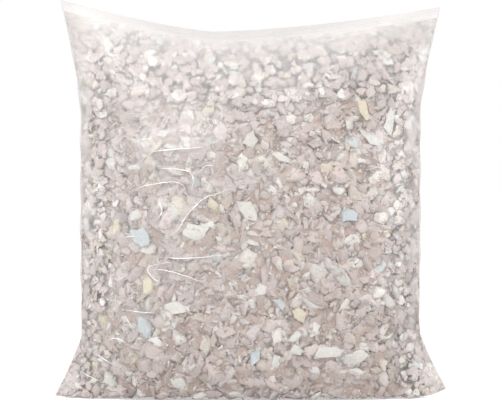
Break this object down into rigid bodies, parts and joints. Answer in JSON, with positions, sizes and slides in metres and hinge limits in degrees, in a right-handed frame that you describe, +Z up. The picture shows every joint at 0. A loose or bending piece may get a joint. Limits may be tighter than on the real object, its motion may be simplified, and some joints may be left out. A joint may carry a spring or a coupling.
{
  "type": "bag of foam flakes",
  "caption": "Clear film pillow bag, welded shut and packed with shredded foam flakes, standing upright on its flattened underside.",
  "frame": {"origin": "middle of the bag's footprint, on the floor", "axes": "+Z up towards the top weld, +X to the right seen from the front, front of the bag faces -Y"},
  "size_m": [0.432, 0.1422, 0.438],
  "materials": {
    "clear_film": "clear, glossy, slightly milky where the film is empty",
    "grey_foam": "matt open-cell foam, warm pinkish grey",
    "white_foam": "matt closed-cell foam",
    "cream_foam": "matt foam",
    "yellow_foam": "matt foam",
    "blue_foam": "matt foam"
  },
  "bodies": {
    "root": {"film_bag": "clear_film", "packed_flakes": "grey_foam", "blue_flake_01": "blue_foam", "blue_flake_02": "blue_foam", "blue_flake_03": "blue_foam", "blue_flake_04": "blue_foam", "blue_flake_05": "blue_foam", "blue_flake_06": "blue_foam", "blue_flake_07": "blue_foam", "blue_flake_08": "blue_foam", "yellow_flake_01": "yellow_foam", "yellow_flake_02": "yellow_foam", "yellow_flake_03": "yellow_foam", "yellow_flake_04": "yellow_foam", "yellow_flake_05": "yellow_foam", "yellow_flake_06": "yellow_foam", "yellow_flake_07": "yellow_foam", "yellow_flake_08": "yellow_foam", "yellow_flake_09": "yellow_foam", "yellow_flake_10": "yellow_foam", "yellow_flake_11": "yellow_foam", "cream_flake_01": "cream_foam", "cream_flake_02": "cream_foam", "cream_flake_03": "cream_foam", "cream_flake_04": "cream_foam", "cream_flake_05": "cream_foam", "white_flake_01": "white_foam", "white_flake_02": "white_foam", "white_flake_03": "white_foam", "white_flake_04": "white_foam", "white_flake_05": "white_foam", "white_flake_06": "white_foam", "white_flake_07": "white_foam", "white_flake_08": "white_foam", "white_flake_09": "white_foam", "white_flake_10": "white_foam", "white_flake_11": "white_foam", "white_flake_12": "white_foam", "white_flake_13": "white_foam", "white_flake_14": "white_foam", "white_flake_15": "white_foam", "white_flake_16": "white_foam", "white_flake_17": "white_foam", "white_flake_18": "white_foam", "white_flake_19": "white_foam", "white_flake_20": "white_foam", "white_flake_21": "white_foam", "white_flake_22": "white_foam", "white_flake_23": "white_foam", "white_flake_24": "white_foam", "white_flake_25": "white_foam", "white_flake_26": "white_foam"}
  },
  "joints": []
}
